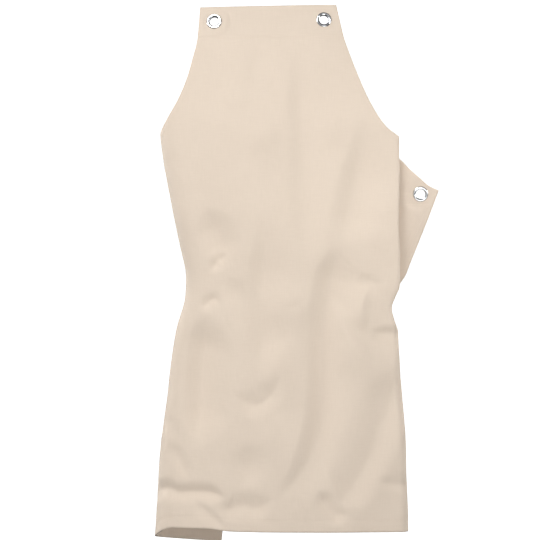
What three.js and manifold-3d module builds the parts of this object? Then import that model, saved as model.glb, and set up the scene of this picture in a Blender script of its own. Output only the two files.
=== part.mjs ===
// Bib apron of plain woven cotton with metal eyelets, cut in one piece, in the form it takes when worn.
// Millimetres. +X is the viewer's right, +Y goes from the front to the back and +Z is up.
// The origin lies midway between the two top eyelets, where the apron hangs from the neck.
import * as THREE from "three";
import { mergeVertices } from "three/addons/utils/BufferGeometryUtils.js";
import Module from "manifold-3d";

// Driving dimensions
const CLOTH = 1.2;
const GAP = 0.3;
const TOP_EDGE = 24;
const FRONT_HEM = -815;
const WAIST_CORNER = -271;
const HALF_WIDTH = 350;
const BAND_FOOT = -28;
const HEM_TOP = -795;
const EDGE_HEM = 12;
const TOP_TILT = 0.016;
const TILT_DEPTH = 150;
const DROP_GROWTH = 3;

// Eyelets: places on the cloth, and the sizes of the ring, its barrel and its washer
const EYELET_BIB_ACROSS = 88;
const EYELET_WAIST_ACROSS = 323;
const EYELET_WAIST_LEVEL = -277;
const EYELET_HOLE = 7.6;
const EYELET_BARREL = 8.4;
const EYELET_FLANGE = 12.3;
const EYELET_CREST = 1.6;
const HOLE_ROUND = 1.2;
const WASHER_RIM = 11.8;
const WASHER_WALL = 0.8;
const EYELET_LIP = 9.9;
const LIP_WALL = 0.6;
const EYELET_SIDES = 16;
const CLOTH_HOLE = 8.8;
const HOLE_CUT = 20;
const FLAT_RADIUS = 30;
const FLAT_FADE = 22;

// Levels of the layers at an eyelet, from the middle of the panel
const PANEL_FACE = CLOTH / 2;
const FACING_FACE = -CLOTH / 2 - GAP;
const FACING_BACK = FACING_FACE - CLOTH;
const WASHER_FACE = FACING_BACK - GAP;
const WASHER_BACK = WASHER_FACE - WASHER_WALL;

// Net of the cloth: the level where a wing parts from the bib, and the number of cells on each side
const JUNCTION = -186;
const JUNCTION_BLEND = 90;
const ARMHOLE_HALVINGS = 40;
const FRONT_CELLS = 12;
const TURN_CELLS = 3;
const TUCK_CELLS = 1;
const FLARE_CELLS = 3;
const BACK_CELLS = 2;
const HEM_CELLS = 1;
const FACING_CELLS = 3;
const FACING_ROWS = 3;
const SEAM_INSET = 0.2;
const PROBE = 0.5;
const LEAST_BEND = 1e-9;
const ROW_BLOCKS = [
  { to: BAND_FOOT, rows: 2 },
  { to: JUNCTION, rows: 8 },
  { to: -230, rows: FACING_ROWS },
  { to: -400, rows: 8 },
  { to: -520, rows: 8 },
  { to: HEM_TOP, rows: 13 },
  { to: FRONT_HEM, rows: 1 },
];

// Cloth from the centre line to its left and right edges, along the section at each level
const EDGES = [
  { z: TOP_EDGE, left: 111, right: 108 },
  { z: BAND_FOOT, left: 115, right: 120 },
  { z: -57, left: 122, right: 130 },
  { z: -95, left: 133, right: 145 },
  { z: -134, left: 151, right: 163 },
  { z: -172, left: 182, right: 189 },
  { z: -191, left: 220, right: 218 },
  { z: -208, left: 252, right: 252 },
  { z: -224, left: 279, right: 278 },
  { z: -239, left: 296, right: 294 },
  { z: -255, left: 318, right: 317 },
  { z: -266, left: 337, right: 336 },
  { z: WAIST_CORNER, left: HALF_WIDTH, right: HALF_WIDTH },
];

// Depth of the centre line, seen from the side
const CENTRE_LINE = [
  { z: TOP_EDGE, y: 4 },
  { z: 0, y: 0 },
  { z: -80, y: -18 },
  { z: -180, y: -32 },
  { z: -300, y: -32 },
  { z: -430, y: -24 },
  { z: -560, y: -22 },
  { z: -700, y: -28 },
  { z: FRONT_HEM, y: -32 },
];

// Plan sections of each side. half: centre line to the side's outermost point. bow, back and end: headings
// in degrees off the frontal plane where the front ends, after the turn and at the edge. turn: radius of
// the turn. tuck and flare: lengths of the straight stretch behind it and of the bend that leads to the edge.
const LEFT_SIDE = [
  { z: TOP_EDGE, half: 240, bow: 14, turn: 40, back: 120, tuck: 12, flare: 50, end: 120 },
  { z: BAND_FOOT, half: 222, bow: 14, turn: 42, back: 120, tuck: 12, flare: 50, end: 120 },
  { z: -57, half: 195, bow: 15, turn: 45, back: 120, tuck: 12, flare: 50, end: 120 },
  { z: -95, half: 183, bow: 16, turn: 46, back: 120, tuck: 12, flare: 50, end: 120 },
  { z: -134, half: 178, bow: 16, turn: 46, back: 120, tuck: 12, flare: 50, end: 122 },
  { z: -172, half: 177, bow: 16, turn: 45, back: 120, tuck: 12, flare: 50, end: 128 },
  { z: -210, half: 173, bow: 16, turn: 44, back: 122, tuck: 12, flare: 50, end: 140 },
  { z: WAIST_CORNER, half: 162, bow: 16, turn: 42, back: 125, tuck: 12, flare: 50, end: 152 },
  { z: -364, half: 141, bow: 16, turn: 38, back: 135, tuck: 12, flare: 50, end: 154 },
  { z: -410, half: 133, bow: 16, turn: 34, back: 140, tuck: 12, flare: 50, end: 150 },
  { z: -441, half: 135, bow: 16, turn: 34, back: 145, tuck: 12, flare: 50, end: 150 },
  { z: -499, half: 151, bow: 17, turn: 36, back: 148, tuck: 12, flare: 50, end: 150 },
  { z: -575, half: 162, bow: 17, turn: 38, back: 148, tuck: 12, flare: 50, end: 150 },
  { z: -690, half: 176, bow: 17, turn: 40, back: 148, tuck: 12, flare: 50, end: 152 },
  { z: FRONT_HEM, half: 184, bow: 17, turn: 42, back: 148, tuck: 12, flare: 50, end: 151 },
];
const RIGHT_SIDE = [
  { z: TOP_EDGE, half: 250, bow: 12, turn: 8, back: 130, tuck: 16, flare: 40, end: 20 },
  { z: -95, half: 222, bow: 11, turn: 6, back: 155, tuck: 16, flare: 22, end: 8 },
  { z: -172, half: 208, bow: 10, turn: 5, back: 166, tuck: 16, flare: 15, end: 2 },
  { z: -210, half: 208, bow: 10, turn: 5, back: 168, tuck: 18, flare: 14, end: 2 },
  { z: -245, half: 208, bow: 10, turn: 5, back: 168, tuck: 20, flare: 14, end: 2 },
  { z: WAIST_CORNER, half: 208, bow: 10, turn: 5, back: 168, tuck: 25, flare: 14, end: 2 },
  { z: -303, half: 208, bow: 10, turn: 5, back: 168, tuck: 31, flare: 14, end: 2 },
  { z: -345, half: 208, bow: 10, turn: 5, back: 168, tuck: 39, flare: 14, end: 4 },
  { z: -403, half: 208, bow: 10, turn: 5, back: 168, tuck: 50, flare: 14, end: 7 },
  { z: -424, half: 208, bow: 10, turn: 6, back: 162, tuck: 53, flare: 18, end: 16 },
  { z: -441, half: 202, bow: 11, turn: 7, back: 150, tuck: 43, flare: 28, end: 36 },
  { z: -460, half: 197, bow: 11, turn: 8, back: 138, tuck: 32, flare: 42, end: 56 },
  { z: -479, half: 201, bow: 11, turn: 9, back: 126, tuck: 20, flare: 56, end: 78 },
  { z: -499, half: 208, bow: 12, turn: 10, back: 118, tuck: 12, flare: 66, end: 96 },
  { z: -575, half: 212, bow: 13, turn: 14, back: 120, tuck: 10, flare: 66, end: 115 },
  { z: -690, half: 219, bow: 14, turn: 16, back: 124, tuck: 10, flare: 66, end: 128 },
  { z: FRONT_HEM, half: 222, bow: 14, turn: 16, back: 124, tuck: 10, flare: 66, end: 134 },
];

// How far the lower edge hangs below the front hem, by the distance across the cloth
const HEM_DROP = [
  { across: HALF_WIDTH, drop: 10 },
  { across: 232, drop: 3 },
  { across: 0, drop: 0 },
  { across: -60, drop: -1 },
  { across: -100, drop: -5 },
  { across: -155, drop: -5 },
  { across: -205, drop: 13 },
  { across: -HALF_WIDTH, drop: 34 },
];

// Folds of the front, as seen from the front. path: the line of the valley in x and z. depth: how far it is
// pushed in, or out if negative. shade and lit: widths of the flanks right and left of the path's direction.
// crisp: 0 for a round valley, 1 for a sharp one. rise and fall: shares of the path over which it fades.
const FOLDS = [
  { path: [[46, -39], [53, -159], [58, -287], [59, -391]],
    depth: 3, shade: 26, lit: 60, crisp: 0.2, rise: 0.2, fall: 0.25 },
  { path: [[96, -60], [118, -130], [136, -211], [134, -290], [122, -364]],
    depth: 5, shade: 44, lit: 86, crisp: 0, rise: 0.5, fall: 0.15 },
  { path: [[18, -171], [-11, -191], [-42, -209]],
    depth: -2.5, shade: 24, lit: 36, crisp: 0, rise: 0.4, fall: 0.4 },
  { path: [[-114, -285], [-97, -315], [-80, -348], [-68, -378]],
    depth: 7, shade: 40, lit: 14, crisp: 0.2, rise: 0.3, fall: 0.1 },
  { path: [[-64, -374], [-78, -381], [-87, -391], [-91, -407]],
    depth: 5, shade: 12, lit: 17, crisp: 0.6, rise: 0.4, fall: 0.4 },
  { path: [[-102, -455], [-103, -495], [-104, -543], [-106, -599], [-116, -650]],
    depth: 9, shade: 30, lit: 40, crisp: 0.3, rise: 0.12, fall: 0.1 },
  { path: [[-78, -415], [-46, -443], [-35, -479], [-30, -521]],
    depth: 4, shade: 30, lit: 30, crisp: 0, rise: 0.3, fall: 0.4 },
  { path: [[-2, -303], [-6, -351], [-9, -399], [-10, -455], [-10, -511], [-14, -570]],
    depth: 5, shade: 28, lit: 50, crisp: 0.2, rise: 0.2, fall: 0.2 },
  { path: [[19, -559], [10, -588], [-5, -606], [-21, -615], [-38, -609], [-61, -593]],
    depth: 6, shade: 32, lit: 16, crisp: 0.6, rise: 0.4, fall: 0.35 },
  { path: [[124, -361], [107, -377], [96, -415], [90, -455], [88, -511], [86, -575], [83, -639], [72, -681],
    [54, -716], [27, -751], [-2, -774]],
    depth: 9, shade: 34, lit: 80, crisp: 0.4, rise: 0.12, fall: 0.3 },
  { path: [[78, -431], [72, -527], [70, -623], [48, -707]],
    depth: 7, shade: 130, lit: 60, crisp: 0, rise: 0.3, fall: 0.3 },
  { path: [[133, -380], [157, -403], [171, -428], [163, -447], [149, -470], [149, -499]],
    depth: -4, shade: 56, lit: 18, crisp: 0.3, rise: 0.3, fall: 0.3 },
  { path: [[210, -502], [187, -499], [170, -500], [157, -491]],
    depth: 10, shade: 20, lit: 30, crisp: 0.6, rise: 0.02, fall: 0.4 },
  { path: [[101, -454], [120, -495], [142, -531], [173, -561]],
    depth: 6, shade: 26, lit: 36, crisp: 0.5, rise: 0.15, fall: 0.3 },
  { path: [[214, -540], [196, -599], [176, -655], [155, -707], [128, -750], [101, -769]],
    depth: 8, shade: 56, lit: 40, crisp: 0.2, rise: 0.3, fall: 0.12 },
  { path: [[77, -748], [93, -772], [109, -787], [134, -788]],
    depth: 6, shade: 22, lit: 24, crisp: 0.4, rise: 0.3, fall: 0.35 },
  { path: [[-64, -764], [-91, -758], [-118, -757], [-146, -758], [-166, -750], [-184, -745]],
    depth: 11, shade: 20, lit: 12, crisp: 0.7, rise: 0.25, fall: 0.02 },
  { path: [[8, -761], [-18, -777], [-42, -774], [-64, -780], [-78, -766]],
    depth: 7, shade: 26, lit: 14, crisp: 0.5, rise: 0.25, fall: 0.2 },
];
const FOLD_TIP = 0.45;
const FOLD_STEPS = 24;
const FOLD_FADE_START = 62;
const FOLD_FADE_END = 96;

const rad = THREE.MathUtils.degToRad;
const ease = (t) => THREE.MathUtils.smoothstep(t, 0, 1);
const lerp = THREE.MathUtils.lerp;

// One column of a table as a function of another that falls from row to row: a smooth curve through the
// rows that never overshoots
function curve(rows, key, by = "z") {
  const secants = rows.slice(1).map((row, i) => (row[key] - rows[i][key]) / (row[by] - rows[i][by]));
  const slopes = rows.map((_, i) => {
    const before = secants[Math.max(i - 1, 0)];
    const after = secants[Math.min(i, secants.length - 1)];
    return before * after <= 0 ? 0 : (2 * before * after) / (before + after);
  });
  return (value) => {
    const held = THREE.MathUtils.clamp(value, rows.at(-1)[by], rows[0][by]);
    const next = Math.max(rows.findIndex((row) => row[by] <= held), 1);
    const [a, b] = [rows[next - 1], rows[next]];
    const span = b[by] - a[by];
    const t = (held - a[by]) / span;
    const lean = t * (1 - t) * span * ((1 - t) * slopes[next - 1] - t * slopes[next]);
    return lerp(a[key], b[key], ease(t)) + lean;
  };
}

const curves = (rows) => Object.fromEntries(Object.keys(rows[0]).map((key) => [key, curve(rows, key)]));
const edges = curves(EDGES);
const centreLine = curves(CENTRE_LINE);
const hemDrop = curve(HEM_DROP, "drop", "across");
const SIDES = {
  left: { hand: -1, edge: edges.left, plan: curves(LEFT_SIDE) },
  right: { hand: 1, edge: edges.right, plan: curves(RIGHT_SIDE) },
};

// Stretches of one side's plan section: bowed front, turn, tuck, flare and straight end
function stretches({ plan }, z) {
  const bow = rad(plan.bow(z));
  const back = rad(plan.back(z));
  const turn = plan.turn(z);
  const frontRadius = (plan.half(z) - turn * (1 - Math.sin(bow))) / Math.sin(bow);
  return [
    { length: frontRadius * bow, bend: 1 / frontRadius },
    { length: turn * (back - bow), bend: 1 / turn },
    { length: plan.tuck(z), bend: 0 },
    { length: plan.flare(z), bend: (rad(plan.end(z)) - back) / plan.flare(z) },
    { length: Infinity, bend: 0 },
  ];
}

// Place and heading at a distance along a side's plan section
function section(side, reach, z) {
  const place = { x: 0, y: 0, heading: 0 };
  let rest = reach;
  for (const { length, bend } of stretches(side, z)) {
    const run = Math.max(Math.min(rest, length), 0);
    const end = place.heading + bend * run;
    const straight = Math.abs(bend) < LEAST_BEND;
    place.x += straight ? run * Math.cos(end) : (Math.sin(end) - Math.sin(place.heading)) / bend;
    place.y += straight ? run * Math.sin(end) : (Math.cos(place.heading) - Math.cos(end)) / bend;
    place.heading = end;
    rest -= length;
  }
  return place;
}

// Sampled valley lines, each with the box outside which its fold has no effect
const valleys = FOLDS.map((fold) => {
  const spine = new THREE.SplineCurve(fold.path.map(([x, z]) => new THREE.Vector2(x, z)));
  const line = spine.getSpacedPoints(FOLD_STEPS);
  const box = new THREE.Box2().setFromPoints(line).expandByScalar(Math.max(fold.shade, fold.lit));
  return { ...fold, line, box };
});

// How far all the folds push a point of the front in
function foldDepth(x, z) {
  const here = new THREE.Vector2(x, z);
  let total = 0;
  for (const { line, box, depth, shade, lit, crisp, rise, fall } of valleys) {
    if (!box.containsPoint(here)) continue;
    let nearest = { distance: Infinity };
    for (let i = 0; i < FOLD_STEPS; i += 1) {
      const along = line[i + 1].clone().sub(line[i]);
      const offset = here.clone().sub(line[i]);
      const share = THREE.MathUtils.clamp(offset.dot(along) / along.lengthSq(), 0, 1);
      const distance = offset.distanceTo(along.clone().multiplyScalar(share));
      if (distance < nearest.distance) {
        nearest = { distance, hand: along.cross(offset), run: (i + share) / FOLD_STEPS };
      }
    }
    const strength = ease(nearest.run / rise) * ease((1 - nearest.run) / fall);
    const width = (nearest.hand < 0 ? shade : lit) * lerp(FOLD_TIP, 1, strength);
    const out = Math.min(nearest.distance / width, 1);
    total += depth * strength * lerp(ease(1 - out), (1 - out) ** 2, crisp);
  }
  return total;
}

// The draped cloth: a point of its middle surface, by the distance across it and the level
function drape(across, z) {
  const side = across < 0 ? SIDES.left : SIDES.right;
  const { x, y, heading } = section(side, Math.abs(across), z);
  const front = 1 - THREE.MathUtils.smoothstep(heading, rad(FOLD_FADE_START), rad(FOLD_FADE_END));
  const dent = front > 0 ? front * foldDepth(side.hand * x, z) : 0;
  const fallen = ((TOP_EDGE - z) / (TOP_EDGE - FRONT_HEM)) ** DROP_GROWTH;
  const tilt = TOP_TILT * across * ease(1 - (TOP_EDGE - z) / TILT_DEPTH);
  return new THREE.Vector3(
    side.hand * (x - dent * Math.sin(heading)),
    y + dent * Math.cos(heading) + centreLine.y(z),
    z + tilt - fallen * hemDrop(across),
  );
}

// Place, direction across, change of place with level, and outward normal of a surface at a point
function frameOf(surface, across, z) {
  const right = surface(across + PROBE, z).sub(surface(across - PROBE, z)).normalize();
  const slant = surface(across, z + PROBE).sub(surface(across, z - PROBE)).divideScalar(2 * PROBE);
  const out = right.clone().cross(slant).normalize();
  return { at: surface(across, z), right, slant, out };
}

// Eyelet seats, on each of which the cloth is pressed flat
const SEATS = [
  { name: "bib_left", across: -EYELET_BIB_ACROSS, z: 0 },
  { name: "bib_right", across: EYELET_BIB_ACROSS, z: 0 },
  { name: "waist_left", across: -EYELET_WAIST_ACROSS, z: EYELET_WAIST_LEVEL },
  { name: "waist_right", across: EYELET_WAIST_ACROSS, z: EYELET_WAIST_LEVEL },
].map((seat) => ({ ...seat, ...frameOf(drape, seat.across, seat.z) }));

function cloth(across, z) {
  const place = drape(across, z);
  for (const seat of SEATS) {
    const distance = Math.hypot(across - seat.across, z - seat.z);
    const press = ease((FLAT_RADIUS + FLAT_FADE - distance) / FLAT_FADE);
    const flat = seat.at.clone().addScaledVector(seat.right, across - seat.across);
    place.lerp(flat.addScaledVector(seat.slant, z - seat.z), press);
  }
  return place;
}

// Levels of the net's rows, closer together at the waist
const ROWS = [TOP_EDGE];
for (const block of ROW_BLOCKS) {
  const from = ROWS.at(-1);
  for (let i = 1; i <= block.rows; i += 1) {
    ROWS.push(lerp(from, block.to, i / block.rows));
  }
}
const BAND_ROW = ROWS.indexOf(BAND_FOOT);
const JUNCTION_ROW = ROWS.indexOf(JUNCTION);
const HEM_ROW = ROWS.indexOf(HEM_TOP);
const LAST_ROW = ROWS.length - 1;

// Distances across the cloth of one side's columns at a level. The front block ends at the armhole edge, or
// below the junction where the turn begins. The wing beyond it has cells for the turn, the tuck, the flare,
// the back and the hem, squeezed together where the front block is wider than the section's front.
function stations(side, z) {
  const [front, turn, tuck, flare] = stretches(side, z).map((stretch) => stretch.length);
  const below = ease((JUNCTION - z) / JUNCTION_BLEND);
  const width = lerp(side.edge(Math.max(z, JUNCTION)), front, below);
  const hem = HALF_WIDTH - EDGE_HEM;
  const squeezed = (reach) => lerp(width, hem, (reach - front) / (hem - front));
  const turnEnd = squeezed(front + turn);
  const flareStart = squeezed(front + turn + tuck);
  const flareEnd = squeezed(front + turn + tuck + flare);
  const list = [];
  const spread = (from, to, count) => {
    for (let i = 0; i < count; i += 1) {
      list.push(lerp(from, to, i / count));
    }
  };
  spread(0, width - EDGE_HEM, FRONT_CELLS - HEM_CELLS);
  spread(width - EDGE_HEM, width, HEM_CELLS);
  spread(width, turnEnd, TURN_CELLS);
  spread(turnEnd, flareStart, TUCK_CELLS);
  spread(flareStart, flareEnd, FLARE_CELLS);
  spread(flareEnd, hem, BACK_CELLS);
  spread(hem, HALF_WIDTH, HEM_CELLS);
  list.push(HALF_WIDTH);
  return list;
}
const WING = FRONT_CELLS;
const LAST_COLUMN = FRONT_CELLS + TURN_CELLS + TUCK_CELLS + FLARE_CELLS + BACK_CELLS + HEM_CELLS;
const FACING_COLUMN = LAST_COLUMN - FACING_CELLS;

// Level where the armhole edge crosses a distance across the cloth
function armholeLevel(side, reach) {
  let [low, high] = [WAIST_CORNER, JUNCTION];
  for (let i = 0; i < ARMHOLE_HALVINGS; i += 1) {
    const middle = (low + high) / 2;
    if (side.edge(middle) > reach) low = middle;
    else high = middle;
  }
  return (low + high) / 2;
}

// Node of the net: rows of a wing start along the armhole edge and level out towards the hem
function netPoint(side, column, row) {
  const z = ROWS[row];
  const reach = stations(side, z)[column];
  const along = (JUNCTION - z) / (JUNCTION - FRONT_HEM);
  const fan = column > WING ? (armholeLevel(side, reach) - JUNCTION) * (1 - along) ** 2 : 0;
  return { across: side.hand * reach, z: z + fan };
}

// Cells of the net, with their corners in turn as seen from outside
const points = new Map();
const cells = [];
for (const [name, side] of Object.entries(SIDES)) {
  const key = (column, row) => `${column === 0 ? "centre" : name} ${column} ${row}`;
  for (let row = 0; row <= LAST_ROW; row += 1) {
    const end = row < JUNCTION_ROW ? WING : LAST_COLUMN;
    for (let column = 0; column <= end; column += 1) {
      points.set(key(column, row), netPoint(side, column, row));
    }
  }
  for (let row = 0; row < LAST_ROW; row += 1) {
    const end = row < JUNCTION_ROW ? WING : LAST_COLUMN;
    for (let column = 0; column < end; column += 1) {
      const corners = [[0, 0], [0, 1], [1, 1], [1, 0]].map(([i, j]) => key(column + i, row + j));
      cells.push({ name, column, row, corners: side.hand < 0 ? corners.reverse() : corners });
    }
  }
}

// Boundary of a set of cells: its directed edges that no other of its cells shares
function boundary(set) {
  const directed = set.flatMap(({ corners }) => corners.map((from, i) => [from, corners[(i + 1) % 4]]));
  const known = new Set(directed.map(([from, to]) => `${from}>${to}`));
  return directed.filter(([from, to]) => !known.has(`${to}>${from}`));
}
const panelRim = new Set(boundary(cells).map(([from, to]) => `${from}>${to}`));

// Points of a set of cells, drawn in a little from the lines where it ends within the panel
function drawnIn(set) {
  const moved = new Map();
  for (const { corners } of set) {
    corners.forEach((corner) => moved.set(corner, { ...points.get(corner) }));
  }
  for (const [from, to] of boundary(set)) {
    if (panelRim.has(`${from}>${to}`)) continue;
    const [a, b] = [points.get(from), points.get(to)];
    const [run, rise] = [b.across - a.across, b.z - a.z];
    const size = Math.hypot(run, rise) / SEAM_INSET;
    for (const corner of [from, to]) {
      moved.get(corner).across -= rise / size;
      moved.get(corner).z += run / size;
    }
  }
  return moved;
}

// Closed wall over a set of cells, between two offsets along the outward normal
function wall(set, outer, inner) {
  const positions = [];
  const faces = [];
  const index = new Map();
  for (const [key, point] of drawnIn(set)) {
    const { at, out } = frameOf(cloth, point.across, point.z);
    index.set(key, positions.length / 3);
    positions.push(...at.clone().addScaledVector(out, outer), ...at.addScaledVector(out, inner));
  }
  const face = (a, b, c, d) => faces.push(a, b, c, a, c, d);
  for (const { corners } of set) {
    const [a, b, c, d] = corners.map((corner) => index.get(corner));
    face(a, b, c, d);
    faces.push(a + 1, c + 1, b + 1, a + 1, d + 1, c + 1);
  }
  for (const [from, to] of boundary(set)) {
    const [a, b] = [index.get(from), index.get(to)];
    face(b, a, a + 1, b + 1);
  }
  const geometry = new THREE.BufferGeometry();
  geometry.setAttribute("position", new THREE.Float32BufferAttribute(positions, 3));
  geometry.setIndex(faces);
  return geometry;
}

// Boolean cut of a closed geometry by others
const wasm = await Module();
wasm.setup();

function solid(geometry) {
  const bare = geometry.clone();
  bare.deleteAttribute("normal");
  bare.deleteAttribute("uv");
  const merged = mergeVertices(bare);
  return new wasm.Manifold(new wasm.Mesh({
    numProp: 3,
    vertProperties: merged.attributes.position.array,
    triVerts: Uint32Array.from(merged.index.array),
  }));
}

function cut(geometry, tools) {
  const body = tools.reduce((rest, tool) => rest.subtract(solid(tool)), solid(geometry)).getMesh();
  const result = new THREE.BufferGeometry();
  result.setAttribute("position", new THREE.BufferAttribute(body.vertProperties, 3));
  result.setIndex(new THREE.BufferAttribute(body.triVerts, 1));
  return result;
}

// Turned pieces stand on +Y, which each seat turns to the outward normal
const seatTurn = (seat) => new THREE.Quaternion().setFromUnitVectors(new THREE.Vector3(0, 1, 0), seat.out);

function holeCutter(seat) {
  const cutter = new THREE.CylinderGeometry(CLOTH_HOLE, CLOTH_HOLE, HOLE_CUT, EYELET_SIDES);
  return cutter.applyQuaternion(seatTurn(seat)).translate(...seat.at);
}

function turned(profile) {
  const outline = profile.map(([radius, height]) => new THREE.Vector2(radius, height));
  outline.push(outline[0].clone());
  return new THREE.LatheGeometry(outline, EYELET_SIDES);
}

// Quarter turn of a rounded edge about its centre
function roundedEdge(radius, height, size, start) {
  return [start, start + 45, start + 90].map((angle) => [
    radius + size * Math.cos(rad(angle)),
    height + size * Math.sin(rad(angle)),
  ]);
}

// Ring with a flat-topped round flange, a barrel through the cloth and a lip rolled over the washer
function eyelet() {
  const seat = PANEL_FACE + GAP;
  const crest = seat + EYELET_CREST;
  const lip = WASHER_BACK - GAP;
  return turned([
    [EYELET_HOLE, lip],
    [EYELET_BARREL, lip - LIP_WALL],
    [EYELET_LIP, lip - LIP_WALL],
    [EYELET_LIP, lip],
    [EYELET_BARREL, lip],
    [EYELET_BARREL, seat],
    ...roundedEdge(EYELET_FLANGE - EYELET_CREST, seat, EYELET_CREST, 0),
    ...roundedEdge(EYELET_HOLE + HOLE_ROUND, crest - HOLE_ROUND, HOLE_ROUND, 90),
  ]);
}

function washer() {
  const bore = EYELET_BARREL + GAP;
  return turned([
    [bore, WASHER_BACK],
    [WASHER_RIM, WASHER_BACK],
    [WASHER_RIM, WASHER_FACE],
    [bore, WASHER_FACE],
  ]);
}

// Materials and assembly
const cottonOutside = new THREE.MeshStandardMaterial({ color: "#e4d4c4", roughness: 0.9, metalness: 0 });
const cottonInside = new THREE.MeshStandardMaterial({ color: "#d8c9b8", roughness: 0.92, metalness: 0 });
const nickel = new THREE.MeshStandardMaterial({ color: "#c8cace", roughness: 0.18, metalness: 1 });

const apron = new THREE.Group();

function add(name, geometry, material, seat) {
  const mesh = new THREE.Mesh(geometry, material);
  mesh.name = name;
  if (seat) {
    mesh.position.copy(seat.at);
    mesh.quaternion.copy(seatTurn(seat));
  }
  apron.add(mesh);
}

// Turned hems and facings lie on the inside of the cells that these tests pick
const FACING_FOOT_ROW = JUNCTION_ROW + FACING_ROWS;
const inBand = ({ row }) => row < BAND_ROW;
const inBottomHem = ({ row }) => row >= HEM_ROW;
const inFacing = ({ column, row }) => column >= FACING_COLUMN && row < FACING_FOOT_ROW;
const inSideHem = ({ column, row }) => column === LAST_COLUMN - 1 && row >= FACING_FOOT_ROW && row < HEM_ROW;
const onArmholeEdge = ({ column, row }) => column === WING - 1 && row >= BAND_ROW && row <= JUNCTION_ROW;
const onWingEdge = ({ column, row }) => column >= WING && column < FACING_COLUMN && row === JUNCTION_ROW;
const inArmholeHem = (cell) => onArmholeEdge(cell) || onWingEdge(cell);
const lining = (test) => wall(cells.filter(test), FACING_FACE, FACING_BACK);

const cutters = Object.fromEntries(SEATS.map((seat) => [seat.name, holeCutter(seat)]));
add("apron_panel", cut(wall(cells, PANEL_FACE, -PANEL_FACE), Object.values(cutters)), cottonOutside);
add("bib_band", cut(lining(inBand), [cutters.bib_left, cutters.bib_right]), cottonInside);
add("bottom_hem", lining(inBottomHem), cottonInside);
for (const side of Object.keys(SIDES)) {
  const on = (test) => (cell) => cell.name === side && test(cell);
  add(`armhole_hem_${side}`, lining(on(inArmholeHem)), cottonInside);
  add(`waist_facing_${side}`, cut(lining(on(inFacing)), [cutters[`waist_${side}`]]), cottonInside);
  add(`side_hem_${side}`, lining(on(inSideHem)), cottonInside);
}
for (const seat of SEATS) {
  add(`eyelet_${seat.name}`, eyelet(), nickel, seat);
  add(`washer_${seat.name}`, washer(), nickel, seat);
}

export default apron;
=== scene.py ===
"""Looks of a bib apron of plain woven cotton with metal eyelets, in the form it takes when worn.

Sizes are in millimetres and angles in degrees; meshes are made in metres, and the stage and the lights are
given in metres. +X is the viewer's right, +Y goes from the front to the back and +Z is up. A point of the
cloth is named by its distance across the cloth from the centre line and by its level.
"""

import math
from collections import namedtuple

import bpy
import numpy as np
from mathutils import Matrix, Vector


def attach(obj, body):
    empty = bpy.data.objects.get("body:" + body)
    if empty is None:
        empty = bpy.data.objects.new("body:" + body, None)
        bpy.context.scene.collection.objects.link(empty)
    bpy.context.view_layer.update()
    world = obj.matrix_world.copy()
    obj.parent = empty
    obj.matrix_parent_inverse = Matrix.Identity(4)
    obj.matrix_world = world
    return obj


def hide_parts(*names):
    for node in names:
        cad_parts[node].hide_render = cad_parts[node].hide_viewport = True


METRES = 0.001

# Driving dimensions
CLOTH = 1.2
GAP = 0.3
TOP_EDGE = 24
FRONT_HEM = -815
WAIST_CORNER = -271
HALF_WIDTH = 350
BAND_FOOT = -28
HEM_TOP = -795
EDGE_HEM = 12
FACING_START = 262
FACING_FOOT = -296

# Slope of the top edge, the depth over which it fades, and the power by which the hem's drop grows downwards
TOP_TILT = 0.016
TILT_DEPTH = 150
DROP_GROWTH = 3

# Eyelets: places on the cloth, sizes of the ring, its barrel and its washer, steps of their rounded edges,
# the hole in the cloth and the tool that cuts it, and the flat cloth around it
EYELET_BIB_ACROSS = 88
EYELET_WAIST_ACROSS = 323
EYELET_WAIST_LEVEL = -277
EYELET_HOLE = 7.6
EYELET_BARREL = 8.4
EYELET_FLANGE = 12.3
EYELET_CREST = 1.6
CREST_OUT = EYELET_CREST / 4
RIM_IN = EYELET_CREST / 8
EYELET_LIP = 9.9
LIP_WALL = 0.6
WASHER_RIM = 11.8
WASHER_WALL = 0.8
WASHER_SOFT = WASHER_WALL / 4
EYELET_SIDES = 72
CREST_STEPS = 10
LIP_STEPS = 6
ROLL_STEPS = 5
SOFT_STEPS = 3
CLOTH_HOLE = 8.8
HOLE_CUT = 10
CUTTER_CORE = 0.01
FLAT_RADIUS = 15
FLAT_FADE = 12
EYELETS = {
    "bib_left": (-EYELET_BIB_ACROSS, 0),
    "bib_right": (EYELET_BIB_ACROSS, 0),
    "waist_left": (-EYELET_WAIST_ACROSS, EYELET_WAIST_LEVEL),
    "waist_right": (EYELET_WAIST_ACROSS, EYELET_WAIST_LEVEL),
}

# Levels of the layers along the outward normal, from the middle of the panel
PANEL_FACE = CLOTH / 2
FACING_FACE = -CLOTH / 2 - GAP
FACING_BACK = FACING_FACE - CLOTH
WASHER_FACE = FACING_BACK - GAP
WASHER_BACK = WASHER_FACE - WASHER_WALL

# Net of the cloth: the level where a wing parts from the bib, the cells of each side and of the facings, and
# how far a rounded rim stands out, as a share of the wall
JUNCTION = -186
JUNCTION_BLEND = 90
CELL = 3.7
FRONT_CELLS = 66
TURN_CELLS = 10
TUCK_CELLS = 18
BACK_CELLS = 20
FACING_LEVELS = 24
RIM_BULGE = 0.25

# Fineness of lines read from the outline and of a row of levels over the panel's height, the step that slopes
# are taken over, and the bend that stands for a straight stretch
ARMHOLE_PLACES = 120
OUTLINE_STEPS = 2000
AREA_LEVELS = 400
PROBE = 0.5
LEAST_BEND = 1e-7

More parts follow.
